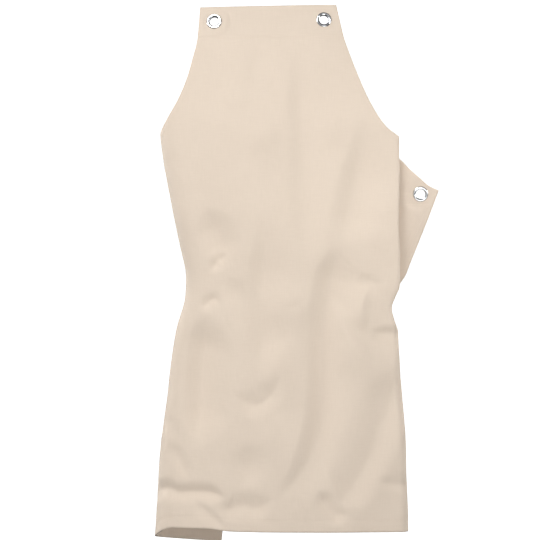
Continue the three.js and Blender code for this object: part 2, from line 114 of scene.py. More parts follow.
# Stitches: the thread, the rings of one stitch as shares of its length and thickness, the halves of its end
# caps, and how far each line of stitches lies from the edge that it runs along
STITCH_PITCH = 3.2
STITCH_LENGTH = 2.5
THREAD = 0.55
THREAD_SIDES = 6
STITCH_RINGS = [(-0.5, 0.35), (-0.3, 1), (0.3, 1), (0.5, 0.35)]
CAP_HALVES = [(0, 1, 2, 3), (0, 3, 4, 5)]
STITCH_INSET = 2.0
SEAM_LEVELS = {"band": BAND_FOOT + STITCH_INSET, "bottom": HEM_TOP - STITCH_INSET}

# Camera: on the level of the picture's middle, in front of the apron; its reach is in metres
FRAME_WIDTH = 864
CAMERA = (1.6, -3200, -399.4)
SENSOR = 36
CAMERA_REACH = 100

# Colours and finish; for thread and nickel the roughness is a range, and the grain is given by its marks per
# metre and its depth
COTTON_PALE = (0.80, 0.682, 0.566)
COTTON_DEEP = (0.76, 0.644, 0.530)
# The inside pieces are the same cotton, painted a little darker as shade on the inside of the apron
SHADED_LINING_PALE = (0.76, 0.648, 0.538)
SHADED_LINING_DEEP = (0.71, 0.602, 0.496)
COTTON_ROUGHNESS = 0.86
COTTON_SPECULAR = 0.22
SHEEN = 0.18
SHEEN_ROUGHNESS = 0.45
THREAD_COLOUR = (0.78, 0.67, 0.555)
THREAD_ROUGHNESS = (0.6, 0.85)
THREAD_GRAIN = (2400, 0.1)
NICKEL_COLOUR = (0.74, 0.75, 0.77)
NICKEL_ROUGHNESS = (0.06, 0.16)
NICKEL_GRAIN = (260, 0.01)

# Weave: the pitch of the threads and the period of the wave that draws them; marks per metre along both ways
# and detail of slubs, patches and puffs; their shares in the tone and in the relief, and the range of the
# tone; strength and depth of the fine and the broad relief
THREAD_PITCH = 0.5
WAVE_PERIOD = math.pi / 10
THREAD_WANDER = 0.6
SLUBS_ACROSS = (700, 45, 2)
SLUBS_DOWN = (45, 700, 2)
PATCHES = (16, 12, 3)
PUFFS = (26, 22, 3)
SLUB_TONE = 0.35
PATCH_TONE = 0.3
TONE_RANGE = (0.3, 0.7)
WEAVE_RELIEF = 0.35
SLUB_RELIEF = 0.5
FINE_RELIEF = (0.25, 0.4)
BROAD_RELIEF = (0.35, 3)

# Stage, in metres
FLOOR_LEVEL = -1.35
STAGE_RADIUS = 9.0
STAGE_SIDES = 96
STAGE_ROUGHNESS = 0.9
WHITE = (1, 1, 1, 1)

# Light, in metres and watts: a key at the upper left front, a low fill, a grazing light at each side, a light
# behind each side, and a narrow accent on the flap
Light = namedtuple("Light", "name place size power")
LIGHTS = [
    Light("key", (-0.9, -2.2, 1.5), 1.2, 40),
    Light("fill", (0.6, -2.3, -1.1), 1.4, 18),
    Light("left", (-2.4, -0.9, 0.2), 1.0, 21),
    Light("right", (2.2, -1.0, 0.0), 1.0, 11),
    Light("back_left", (-2.0, 1.5, 0.4), 1.2, 30),
    Light("back_right", (2.0, 1.5, 0.4), 1.2, 30),
]
LIGHT_AIM = (0, 0, -0.35)
ACCENT = Light("accent", (1.8, -1.9, 0.1), 0.3, 90)
ACCENT_AIM = (0.25, 0, -0.27)
ACCENT_ANGLE = 13

# Sky: what lights the cloth is a little brighter at the upper left, and what the metal mirrors is bright in
# front alone. bright_way: where it is brightest. low and high: the greys that it rises between. start: cosine
# of the angle from the bright way where the rise starts.
Sky = namedtuple("Sky", "bright_way low high start")
LIT_SKY = Sky((-0.55, -0.35, 0.75), 0.21, 0.27, -1)
MIRRORED_SKY = Sky((-0.25, -0.93, 0.27), 0.1, 0.8, 0.75)


def table(names, *rows):
    """Columns of a table by name."""
    return dict(zip(names.split(), np.array(rows, float).T))


# Cloth from the centre line to its left and right edges, along the section at each level
EDGES = table(
    "z left right",
    (TOP_EDGE, 111, 108),
    (BAND_FOOT, 115, 120),
    (-57, 122, 130),
    (-95, 133, 145),
    (-134, 151, 163),
    (-172, 182, 189),
    (-191, 220, 218),
    (-208, 252, 252),
    (-224, 279, 278),
    (-239, 296, 294),
    (-255, 318, 317),
    (-266, 337, 336),
    (WAIST_CORNER, HALF_WIDTH, HALF_WIDTH),
)

# Depth of the centre line, seen from the side
CENTRE_LINE = table(
    "z y",
    (TOP_EDGE, 4),
    (0, 0),
    (-80, -18),
    (-180, -32),
    (-300, -32),
    (-430, -24),
    (-560, -22),
    (-700, -28),
    (FRONT_HEM, -32),
)

# Plan sections of each side. half: centre line to the side's outermost point. bow, back and end: headings off
# the frontal plane where the front ends, after the turn and at the edge. turn: radius of the turn. tuck and
# flare: lengths of the straight stretch behind the turn and of the bend that leads to the edge.
LEFT_SIDE = table(
    "z half bow turn back tuck flare end",
    (TOP_EDGE, 240, 14, 40, 120, 12, 50, 120),
    (BAND_FOOT, 222, 14, 42, 120, 12, 50, 120),
    (-57, 195, 15, 45, 120, 12, 50, 120),
    (-95, 183, 16, 46, 120, 12, 50, 120),
    (-134, 178, 16, 46, 120, 12, 50, 122),
    (-172, 177, 16, 45, 120, 12, 50, 128),
    (-210, 173, 16, 44, 122, 12, 50, 140),
    (WAIST_CORNER, 162, 16, 42, 125, 12, 50, 152),
    (-364, 141, 16, 38, 135, 12, 50, 154),
    (-410, 133, 16, 34, 140, 12, 50, 150),
    (-441, 135, 16, 34, 145, 12, 50, 150),
    (-499, 151, 17, 36, 148, 12, 50, 150),
    (-575, 162, 17, 38, 148, 12, 50, 150),
    (-690, 176, 17, 40, 148, 12, 50, 152),
    (FRONT_HEM, 184, 17, 42, 148, 12, 50, 151),
)
RIGHT_SIDE = table(
    "z half bow turn back tuck flare end",
    (TOP_EDGE, 250, 12, 8, 130, 16, 40, 20),
    (-95, 222, 11, 6, 155, 16, 22, 8),
    (-172, 208, 10, 5, 166, 16, 15, 2),
    (-210, 208, 10, 5, 168, 18, 14, 2),
    (-245, 208, 10, 5, 168, 20, 14, 2),
    (WAIST_CORNER, 208, 10, 5, 168, 25, 14, 2),
    (-303, 208, 10, 5, 168, 31, 14, 2),
    (-345, 208, 10, 5, 168, 39, 14, 4),
    (-403, 208, 10, 5, 168, 50, 14, 7),
    (-424, 208, 10, 6, 162, 53, 18, 16),
    (-441, 202, 11, 7, 152, 48, 28, 36),
    (-460, 197, 11, 8, 140, 36, 42, 56),
    (-479, 201, 11, 9, 126, 20, 56, 78),
    (-499, 208, 12, 10, 118, 12, 66, 96),
    (-575, 212, 13, 14, 120, 10, 66, 115),
    (-690, 219, 14, 16, 124, 10, 66, 128),
    (FRONT_HEM, 222, 14, 16, 124, 10, 66, 134),
)

# How far the lower edge hangs below the front hem, by the distance across the cloth
HEM_DROP = table(
    "across drop",
    (HALF_WIDTH, 10),
    (232, 3),
    (0, 0),
    (-60, -1),
    (-100, -5),
    (-155, -5),
    (-205, 13),
    (-HALF_WIDTH, 34),
)

# Folds of the front, as seen from the front. path: the line of the valley in x and z. depth: how far it is
# pushed in, or out if negative. shade and lit: widths of the flanks right and left of the path's direction.
# crisp: 0 for a round valley, 1 for a sharp one. rise and fall: shares of the path over which it fades.
Fold = namedtuple("Fold", "path depth shade lit crisp rise fall")
FOLDS = [
    # bib
    Fold([(46, -39), (53, -159), (58, -287), (59, -391)], 4.5, 30, 60, 0.1, 0.3, 0.25),
    Fold([(152, -150), (149, -205), (142, -250), (130, -300), (114, -362)], 9, 34, 70, 0.1, 0.5, 0.25),
    Fold([(18, -171), (-11, -191), (-42, -209)], -2.4, 24, 40, 0, 0.4, 0.4),
    Fold([(-27, -123), (-53, -127), (-77, -132)], -2.4, 24, 30, 0, 0.4, 0.4),
    Fold([(-19, -35), (-16, -67), (-27, -108)], 3, 28, 40, 0, 0.4, 0.4),
    Fold([(141, -203), (110, -209), (75, -212)], 1.0, 16, 26, 0.2, 0.4, 0.5),
    # left of the waist
    Fold([(-102, -298), (-88, -332), (-77, -362), (-66, -398)], 8, 40, 40, 0.2, 0.4, 0.4),
    Fold([(-64, -374), (-78, -381), (-87, -391), (-91, -407)], 4.2, 13, 20, 0.5, 0.4, 0.4),
    Fold([(-74, -457), (-88, -447), (-101, -454), (-107, -470)], 4, 14, 20, 0.5, 0.4, 0.4),
    Fold([(-102, -462), (-107, -510), (-110, -565), (-112, -630), (-116, -690)], 12, 34, 60, 0.15, 0.3, 0.3),
    Fold([(-78, -415), (-46, -443), (-35, -479), (-30, -521)], 4, 30, 30, 0, 0.3, 0.4),
    # middle of the skirt
    Fold([(-2, -303), (-6, -351), (-9, -399), (-10, -455), (-10, -511), (-14, -570)],
         7, 30, 56, 0.1, 0.4, 0.25),
    Fold([(19, -559), (10, -588), (-5, -606), (-21, -615), (-38, -609), (-61, -593)],
         5, 32, 24, 0.5, 0.4, 0.35),
    Fold([(124, -361), (107, -377), (96, -415), (90, -455), (88, -511), (86, -575), (83, -639), (72, -681),
          (54, -716), (27, -751), (-2, -774)],
         11, 30, 80, 0.3, 0.15, 0.3),
    Fold([(78, -431), (72, -527), (70, -623), (48, -707)], 7, 130, 60, 0, 0.3, 0.3),
    Fold([(56, -443), (37, -460), (16, -457)], 1.4, 12, 16, 0.3, 0.4, 0.4),
    Fold([(-66, -690), (-27, -712), (5, -730)], 5, 50, 44, 0, 0.5, 0.5),
    # right of the waist
    Fold([(164, -424), (152, -442), (147, -466), (150, -500)], -5, 50, 18, 0.5, 0.3, 0.4),
    Fold([(188, -419), (172, -421), (158, -415), (146, -402)], 3.2, 16, 34, 0.5, 0.4, 0.35),
    Fold([(210, -502), (190, -499), (172, -499), (157, -494)], 4.5, 14, 40, 0.6, 0.02, 0.5),
    Fold([(92, -436), (114, -486), (138, -524), (176, -572)], -7, 60, 28, 0.3, 0.45, 0.45),
    # lower right
    Fold([(214, -540), (196, -599), (176, -655), (155, -707), (128, -750), (101, -769)],
         8.5, 56, 40, 0.2, 0.3, 0.15),
    Fold([(77, -748), (93, -772), (109, -787), (134, -788)], 6, 22, 24, 0.4, 0.3, 0.35),
    Fold([(219, -742), (190, -739), (162, -732)], 3, 18, 14, 0.4, 0.02, 0.5),
    # lower left
    Fold([(-64, -764), (-91, -758), (-118, -757), (-146, -758), (-166, -750), (-184, -745)],
         7, 20, 22, 0.6, 0.25, 0.02),
    Fold([(8, -761), (-18, -777), (-42, -774), (-64, -780), (-78, -766)], 4.5, 28, 24, 0.3, 0.3, 0.25),
    Fold([(-163, -679), (-142, -708), (-125, -742)], 3, 16, 20, 0.3, 0.3, 0.4),
    Fold([(-165, -631), (-158, -655), (-149, -675)], 2, 10, 12, 0.3, 0.3, 0.4),
    Fold([(-123, -769), (-98, -790), (-67, -812)], 3, 18, 14, 0.2, 0.3, 0.3),
]

# Width of a fold where it fades out, as a share; steps along its path and between the path's points; and the
# headings of the cloth between which folds end at a side
FOLD_TIP = 0.45
FOLD_STEPS = 24
PATH_STEPS = 12
FOLD_FADE_START = 62
FOLD_FADE_END = 96

# Unevenness of the cloth between the folds: size of a swell, its height, and the turn of its grid
SWELLS = [
    (92, 1.9, 20),
    (46, 0.8, 55),
    (21, 0.28, -30),
]
SWELL_GRID = 64
SWELL_SEED = 4

# Seams: a dip along the stitches, puckers beside it, and extra rows of cells around it
SEAM_DIPS = {"band": 0.8, "bottom": 0.35}
SEAM_WIDTH = 1.6
PUCKER_HEIGHT = 0.45
PUCKER_SIZE = 11
PUCKER_SPREAD = 9
SEAM_ROWS = (4.5, 2.2, 0, -2.2, -4.5)


def ease(t):
    """Smooth step from 0 to 1."""
    held = np.clip(t, 0, 1)
    return held * held * (3 - 2 * held)


def lerp(a, b, t):
    """Value a share of the way from one to another."""
    return a + (b - a) * t


def unit(vectors):
    """Vectors of length one."""
    return vectors / np.linalg.norm(vectors, axis=-1, keepdims=True)


def curve(rows, key, at, by="z"):
    """A column of a table as a smooth function of another that falls from row to row, without overshoot."""
    knots, values = rows[by][::-1], rows[key][::-1]
    secants = np.diff(values) / np.diff(knots)
    before, after = np.r_[secants[:1], secants], np.r_[secants, secants[-1:]]
    product = before * after
    slopes = np.where(product > 0, 2 * product / np.where(product > 0, before + after, 1), 0)
    held = np.clip(at, knots[0], knots[-1])
    i = np.clip(np.searchsorted(knots, held) - 1, 0, len(knots) - 2)
    span = knots[i + 1] - knots[i]
    t = (held - knots[i]) / span
    lean = t * (1 - t) * span * ((1 - t) * slopes[i] - t * slopes[i + 1])
    return lerp(values[i], values[i + 1], ease(t)) + lean


def stretches(plan, z):
    """Length and bend of a section's bowed front, turn, tuck, flare and straight end."""
    bow, back, end = (np.radians(curve(plan, key, z)) for key in ("bow", "back", "end"))
    turn, tuck, flare = (curve(plan, key, z) for key in ("turn", "tuck", "flare"))
    front = (curve(plan, "half", z) - turn * (1 - np.sin(bow))) / np.sin(bow)
    return [
        (front * bow, 1 / front),
        (turn * (back - bow), 1 / turn),
        (tuck, np.zeros_like(bow)),
        (flare, (end - back) / flare),
        (np.inf, np.zeros_like(bow)),
    ]


def section(plan, reach, z):
    """Place and heading at a distance along a side's plan section."""
    x, y, heading = (np.zeros_like(reach) for _ in range(3))
    rest = reach
    for length, bend in stretches(plan, z):
        run = np.clip(rest, 0, length)
        turning = np.where(np.abs(bend) < LEAST_BEND, LEAST_BEND, bend)
        end = heading + turning * run
        x = x + (np.sin(end) - np.sin(heading)) / turning
        y = y + (np.cos(heading) - np.cos(end)) / turning
        heading, rest = end, rest - length
    return x, y, heading


def spline(path, steps):
    """Evenly spaced points on a smooth line through the points of a path."""
    knots = np.array(path, float)
    ends = np.vstack([2 * knots[0] - knots[1], knots, 2 * knots[-1] - knots[-2]])
    t = np.linspace(0, 1, PATH_STEPS, endpoint=False)[:, None]
    pieces = []
    for a, b, c, d in zip(ends, ends[1:], ends[2:], ends[3:]):
        pieces.append(b + t * (c - a) / 2 + t**2 * (a - 2.5 * b + 2 * c - d / 2)
                      + t**3 * (1.5 * (b - c) + (d - a) / 2))
    line = np.vstack([*pieces, knots[-1:]])
    run = np.r_[0, np.cumsum(np.linalg.norm(np.diff(line, axis=0), axis=1))]
    at = np.linspace(0, run[-1], steps + 1)
    return np.stack([np.interp(at, run, line[:, k]) for k in range(2)], axis=1)


VALLEYS = [spline(fold.path, FOLD_STEPS) for fold in FOLDS]


def fold_depth(x, z):
    """How far all the folds push points of the front in."""
    total = np.zeros_like(x)
    for fold, line in zip(FOLDS, VALLEYS):
        margin = max(fold.shade, fold.lit)
        low, high = line.min(0) - margin, line.max(0) + margin
        near = np.flatnonzero((x > low[0]) & (x < high[0]) & (z > low[1]) & (z < high[1]))
        if not len(near):
            continue
        along = np.diff(line, axis=0)
        offset = np.stack([x[near], z[near]], axis=1)[:, None] - line[:-1]
        share = np.clip((offset * along).sum(-1) / (along**2).sum(-1), 0, 1)
        distances = np.linalg.norm(offset - share[..., None] * along, axis=-1)
        best = distances.argmin(1)
        pick = np.arange(len(near)), best
        side = along[best, 0] * offset[pick][:, 1] - along[best, 1] * offset[pick][:, 0]
        run = (best + share[pick]) / FOLD_STEPS
        strength = ease(run / fold.rise) * ease((1 - run) / fold.fall)
        width = np.where(side < 0, fold.shade, fold.lit) * lerp(FOLD_TIP, 1, strength)
        out = np.minimum(distances[pick] / width, 1)
        total[near] += fold.depth * strength * lerp(ease(1 - out), (1 - out) ** 2, fold.crisp)
    return total


def swell(x, z, size, turn, seed):
    """Smooth random heights from -1 to 1 on a turned grid."""
    heights = np.random.default_rng(seed).uniform(-1, 1, (SWELL_GRID, SWELL_GRID))
    angle = math.radians(turn)
    u = (x * math.cos(angle) + z * math.sin(angle)) / size
    v = (z * math.cos(angle) - x * math.sin(angle)) / size
    i, j = np.floor(u).astype(int), np.floor(v).astype(int)
    s, t = ease(u - i), ease(v - j)
    near, far = i % SWELL_GRID, (i + 1) % SWELL_GRID
    low, high = j % SWELL_GRID, (j + 1) % SWELL_GRID
    below = lerp(heights[near, low], heights[far, low], s)
    above = lerp(heights[near, high], heights[far, high], s)
    return lerp(below, above, t)


def press(beside, above):
    """Share by which an eyelet presses the cloth around it flat."""
    return ease((FLAT_RADIUS + FLAT_FADE - np.hypot(beside, above)) / FLAT_FADE)


def unevenness(across, z):
    """How far swells, seams and puckers push points of the cloth in, away from the eyelets."""
    total = np.zeros_like(across)
    for number, (size, height, turn) in enumerate(SWELLS):
        total += height * swell(across, z, size, turn, SWELL_SEED + number)
    for number, (seam, level) in enumerate(SEAM_LEVELS.items()):
        pucker = swell(across, z, PUCKER_SIZE, 0, SWELL_SEED - number - 1)
        total += SEAM_DIPS[seam] * np.exp(-((z - level) / SEAM_WIDTH) ** 2)
        total += PUCKER_HEIGHT * pucker * np.exp(-((z - level) / PUCKER_SPREAD) ** 2)
    for beside, level in EYELETS.values():
        total *= 1 - press(across - beside, z - level)
    return total


def drape(across, z):
    """Points of the draped cloth's middle surface."""
    across, z = np.broadcast_arrays(np.asarray(across, float), np.asarray(z, float))
    left = across < 0
    hand = np.where(left, -1, 1)
    sides = [section(plan, np.abs(across), z) for plan in (LEFT_SIDE, RIGHT_SIDE)]
    x, y, heading = (np.where(left, a, b) for a, b in zip(*sides))
    fade = (np.degrees(heading) - FOLD_FADE_START) / (FOLD_FADE_END - FOLD_FADE_START)
    dent = (1 - ease(fade)) * fold_depth((hand * x).ravel(), z.ravel()).reshape(x.shape)
    dent += unevenness(across, z)
    fallen = ((TOP_EDGE - z) / (TOP_EDGE - FRONT_HEM)) ** DROP_GROWTH
    tilt = TOP_TILT * across * ease(1 - (TOP_EDGE - z) / TILT_DEPTH)
    return np.stack([
        hand * (x - dent * np.sin(heading)),
        y + dent * np.cos(heading) + curve(CENTRE_LINE, "y", z),
        z + tilt - fallen * curve(HEM_DROP, "drop", across, by="across"),
    ], axis=-1)


def frames(surface, across, z):
    """Places, tangents across and up, and outward normals of a surface."""
    right = unit(surface(across + PROBE, z) - surface(across - PROBE, z))
    out = unit(np.cross(right, rise(surface, across, z)))
    return surface(across, z), right, np.cross(out, right), out


def rise(surface, across, z):
    """Change of place with level."""
    return (surface(across, z + PROBE) - surface(across, z - PROBE)) / (2 * PROBE)


# Eyelet seats, on each of which the cloth is pressed flat
Seat = namedtuple("Seat", "name across z at right up out slant")
SEATS = [
    Seat(name, across, z, *frames(drape, across, z), rise(drape, across, z))
    for name, (across, z) in EYELETS.items()
]


def cloth(across, z):
    """Points of the cloth's middle surface, flat under the eyelets."""
    across, z = np.broadcast_arrays(np.asarray(across, float), np.asarray(z, float))
    place = drape(across, z)
    for seat in SEATS:
        beside, above = across - seat.across, z - seat.z
        flat = seat.at + beside[..., None] * seat.right + above[..., None] * seat.slant
        place = lerp(place, flat, press(beside, above)[..., None])
    return place


# Outline of the cut, side by side
SIDES = {"left": (-1, LEFT_SIDE), "right": (1, RIGHT_SIDE)}


def edge(side, z):
    """Distance across the cloth to one side's edge at a level."""
    return curve(EDGES, side, z)


def armhole_level(side, reach):
    """Level where the armhole edge crosses a distance across the cloth."""
    levels = np.linspace(WAIST_CORNER, TOP_EDGE, OUTLINE_STEPS)
    return np.interp(-np.asarray(reach, float), -edge(side, levels), levels)


def even_levels(*stops):
    """Levels a cell apart from stop to stop, with a row on each stop."""
    rows = [np.array(stops[:1], float)]
    for start, end in zip(stops, stops[1:]):
        rows.append(np.linspace(start, end, math.ceil((start - end) / CELL) + 1)[1:])
    return np.concatenate(rows)


def stations(side, z):
    """Distances across the cloth of one side's columns, a row for each level."""
    front, turn, tuck, flare = (length for length, _ in stretches(SIDES[side][1], z)[:4])
    width = lerp(edge(side, np.maximum(z, JUNCTION)), front, ease((JUNCTION - z) / JUNCTION_BLEND))
    squeeze = (HALF_WIDTH - width) / (HALF_WIDTH - front)
    turn_end = width + turn * squeeze
    flare_end = turn_end + (tuck + flare) * squeeze
    return np.concatenate([
        np.linspace(0 * width, width, FRONT_CELLS + 1),
        np.linspace(width, turn_end, TURN_CELLS + 1)[1:],
        np.linspace(turn_end, flare_end, TUCK_CELLS + 1)[1:],
        np.linspace(flare_end, HALF_WIDTH + 0 * width, BACK_CELLS + 1)[1:],
    ]).T


def quads(index):
    """Cells of a grid of vertex numbers, turned outwards where distance across grows along a row."""
    a, b, c, d = index[:-1, :-1], index[1:, :-1], index[1:, 1:], index[:-1, 1:]
    return np.stack([a, b, c, d], axis=-1).reshape(-1, 4)


def panel_net():
    """Distances across, levels and cells of the whole panel: the front block and a wing on each side."""
    band_seam, hem_seam = ([level + row for row in SEAM_ROWS] for level in SEAM_LEVELS.values())
    z = even_levels(TOP_EDGE, *band_seam, JUNCTION, *hem_seam, FRONT_HEM)
    reach = {side: stations(side, z) for side in SIDES}
    front = np.hstack([-reach["left"][:, FRONT_CELLS:0:-1], reach["right"][:, : FRONT_CELLS + 1]])
    index = np.arange(front.size).reshape(front.shape)
    across = [front.ravel()]
    levels = [np.repeat(z, front.shape[1])]
    cells = [quads(index)]
    count = front.size
    junction = int(np.argmin(np.abs(z - JUNCTION)))
    along = ((JUNCTION - z[junction:]) / (JUNCTION - FRONT_HEM))[:, None]
    for side, (hand, _) in SIDES.items():
        wing = reach[side][junction:, FRONT_CELLS + 1:]
        fan = np.minimum(armhole_level(side, wing) - JUNCTION, 0) * (1 - along) ** 2
        own = count + np.arange(wing.size).reshape(wing.shape)
        seam = index[junction:, -1 if hand > 0 else 0]
        grid = np.hstack([seam[:, None], own])
        across.append(hand * wing.ravel())
        levels.append((z[junction:, None] + fan).ravel())
        cells.append(quads(grid[:, ::hand]))
        count += wing.size
    return np.concatenate(across), np.concatenate(levels), np.concatenate(cells)


def rim(cells):
    """Directed edges of cells that no other cell shares."""
    directed = np.stack([cells, np.roll(cells, -1, axis=1)], axis=-1).reshape(-1, 2)
    known = set(map(tuple, directed.tolist()))
    return np.array([pair for pair in map(tuple, directed.tolist()) if pair[::-1] not in known])


def new_object(name, points, faces, materials, uv=None):
    """Smooth mesh object from points in millimetres, with a map of the cloth in metres."""
    mesh = bpy.data.meshes.new(name)
    mesh.from_pydata((np.asarray(points) * METRES).tolist(), [], np.asarray(faces).tolist())
    mesh.shade_smooth()
    for material in materials:
        mesh.materials.append(material)
    if uv is not None:
        loops = np.zeros(len(mesh.loops), np.int32)
        mesh.loops.foreach_get("vertex_index", loops)
        layer = mesh.uv_layers.new(name="cloth")
        layer.data.foreach_set("uv", (np.asarray(uv)[loops] * METRES).astype(np.float32).ravel())
    piece = bpy.data.objects.new(name, mesh)
    bpy.context.scene.collection.objects.link(piece)
    return piece


def wall(name, across, z, cells, outer, inner, materials):
    """Closed piece of cloth over a net, between two offsets along the outward normal, with a rounded rim."""
    place, _, _, out = frames(cloth, across, z)
    edges = rim(cells)
    start, end = edges.T
    outward = np.zeros_like(place)
    side = np.cross(unit(place[end] - place[start]), out[start])
    np.add.at(outward, start, side)
    np.add.at(outward, end, side)
    rim_points = np.unique(edges)
    middle = place[rim_points] + out[rim_points] * (outer + inner) / 2
    middle += unit(outward[rim_points]) * (outer - inner) * RIM_BULGE
    count = len(place)
    to_middle = np.zeros(count, int)
    to_middle[rim_points] = 2 * count + np.arange(len(rim_points))
    faces = np.concatenate([
        cells,
        cells[:, ::-1] + count,
        np.stack([end, start, to_middle[start], to_middle[end]], axis=1),
        np.stack([to_middle[end], to_middle[start], start + count, end + count], axis=1),
    ])
    points = np.concatenate([place + out * outer, place + out * inner, middle])
    flat = np.stack([across, z], axis=1)
    return new_object(name, points, faces, materials, np.concatenate([flat, flat, flat[rim_points]]))


def patch(name, across, z, materials):
    """Lining over a grid of places, on the inside of the panel."""
    grow = (across[0, -1] - across[0, 0]) * (z[0, 0] - z[-1, 0])
    turn = (z[0, -1] - z[0, 0]) * (across[0, 0] - across[-1, 0])
    index = np.arange(across.size).reshape(across.shape)
    cells = quads(index if grow - turn > 0 else index[:, ::-1])
    return wall(name, across.ravel(), z.ravel(), cells, FACING_FACE, FACING_BACK, materials)


def inward(line):
    """Directions into the cloth, left of a line of places."""
    heading = unit(np.gradient(line, axis=0))
    return np.stack([-heading[:, 1], heading[:, 0]], axis=1)


def spaced(line, step):
    """Places along a line, about a step apart."""
    run = np.r_[0, np.cumsum(np.linalg.norm(np.diff(line, axis=0), axis=1))]
    at = np.linspace(0, run[-1], max(2, round(run[-1] / step) + 1))
    return np.stack([np.interp(at, run, line[:, k]) for k in range(2)], axis=1)


def hem(name, line, depth, materials):
    """Hem of a depth along the left of an edge line."""
    places = spaced(line, CELL)
    shares = np.linspace(0, depth, math.ceil(depth / CELL) + 1)
    grid = places[:, None] + inward(places)[:, None] * shares[:, None]
    return patch(name, grid[..., 0], grid[..., 1], materials)


def stitches(name, lines, faces, material):
    """Rows of stitches along lines of places, one row on each of the faces, given by their offsets."""
    angles = np.arange(THREAD_SIDES) * 2 * np.pi / THREAD_SIDES
    form = np.array([(share * STITCH_LENGTH, *(size * THREAD / 2 * np.array([np.cos(a), np.sin(a)])))
                     for share, size in STITCH_RINGS for a in angles])
    index = np.arange(len(form)).reshape(len(STITCH_RINGS), THREAD_SIDES)
    ends = [index[-1][list(half)] for half in CAP_HALVES]
    ends += [index[0][list(half[::-1])] for half in CAP_HALVES]
    tube = np.vstack([quads(np.hstack([index, index[:, :1]]))[:, ::-1], *ends])
    points, cells, count = [], [], 0
    for line in lines:
        places = spaced(line, STITCH_PITCH)
        middle = (places[1:] + places[:-1]) / 2
        heading = unit(places[1:] - places[:-1])
        place, right, up, out = frames(cloth, middle[:, 0], middle[:, 1])
        along = unit(right * heading[:, :1] + up * heading[:, 1:])
        beside = np.cross(out, along)
        for face in faces:
            at = place + out * face
            made = (at[:, None] + along[:, None] * form[:, :1] + beside[:, None] * form[:, 1:2]
                    + out[:, None] * form[:, 2:])
            starts = count + np.arange(len(at)) * len(form)
            points.append(made.reshape(-1, 3))
            cells.append((starts[:, None, None] + tube).reshape(-1, 4))
            count += made.shape[0] * made.shape[1]
    return new_object(name, np.concatenate(points), np.concatenate(cells), [material])


def turned(name, profile, seat, material):
    """Piece turned about a seat's normal from a closed profile of radius and height."""
    radius, height = np.array(profile).T
    angles = np.arange(EYELET_SIDES) * 2 * np.pi / EYELET_SIDES
    spokes = np.cos(angles)[:, None] * seat.right + np.sin(angles)[:, None] * seat.up
    points = seat.at + spokes[:, None] * radius[:, None] + seat.out * height[:, None]
    index = np.arange(EYELET_SIDES * len(radius)).reshape(EYELET_SIDES, len(radius))
    closed = np.vstack([index, index[:1]])
    closed = np.hstack([closed, closed[:, :1]])
    return new_object(name, points.reshape(-1, 3), quads(closed), [material])


def arc(radius, height, wide, high, start, end, steps):
    """Points of an elliptical arc in a profile."""
    angles = np.radians(np.linspace(start, end, steps + 1))
    return [(radius + wide * math.cos(a), height + high * math.sin(a)) for a in angles]


def eyelet(seat, material):
    """Ring with a rounded flange, a barrel through the cloth and a lip rolled over the washer.

    Arcs end a few degrees short where the next point of the profile takes over.
    """
    base = PANEL_FACE + GAP
    lip = WASHER_BACK - GAP
    crest = (EYELET_HOLE + EYELET_FLANGE) / 2 + CREST_OUT
    roll = LIP_WALL / 2
    profile = [
        *arc(EYELET_LIP - roll, lip - roll, roll, roll, -90, 90, LIP_STEPS),
        (EYELET_BARREL, lip),
        (EYELET_BARREL, base),
        (EYELET_FLANGE - RIM_IN, base),
        *arc(crest, base, EYELET_FLANGE - crest, EYELET_CREST, 4, 90, CREST_STEPS),
        *arc(crest, base, crest - EYELET_HOLE, EYELET_CREST, 96, 176, CREST_STEPS),
        *arc(EYELET_BARREL, lip, EYELET_BARREL - EYELET_HOLE, LIP_WALL, 180, 264, ROLL_STEPS),
    ]
    return turned("ring_" + seat.name, profile, seat, material)


def washer(seat, material):
    """Flat ring behind the cloth, with softened edges."""
    bore = EYELET_BARREL + GAP
    soft = WASHER_SOFT
    profile = [
        (bore, WASHER_BACK + soft),
        (bore + soft, WASHER_BACK),
        *arc(WASHER_RIM - soft, WASHER_BACK + soft, soft, soft, -90, 0, SOFT_STEPS),
        *arc(WASHER_RIM - soft, WASHER_FACE - soft, soft, soft, 0, 90, SOFT_STEPS),
        (bore, WASHER_FACE),
    ]
    return turned("back_ring_" + seat.name, profile, seat, material)


def cut_holes(piece, seats):
    """Round holes for the eyelets through a piece of cloth."""
    for seat in seats:
        profile = [
            (CUTTER_CORE, -HOLE_CUT),
            (CLOTH_HOLE, -HOLE_CUT),
            (CLOTH_HOLE, HOLE_CUT),
            (CUTTER_CORE, HOLE_CUT),
        ]
        cutter = turned("cutter", profile, seat, None)
        cut = piece.modifiers.new("hole", "BOOLEAN")
        cut.operation = "DIFFERENCE"
        cut.solver = "EXACT"
        cut.object = cutter
        shown = piece.evaluated_get(bpy.context.evaluated_depsgraph_get())
        mesh = bpy.data.meshes.new_from_object(shown)
        piece.modifiers.remove(cut)
        piece.data = mesh
        bpy.data.objects.remove(cutter)


def new_material(name, roughness, metallic):
    """Empty node material and its shader."""
    made = bpy.data.materials.new(name)
    made.use_nodes = True
    shader = made.node_tree.nodes["Principled BSDF"]
    shader.inputs["Roughness"].default_value = roughness
    shader.inputs["Metallic"].default_value = metallic
    return made, shader


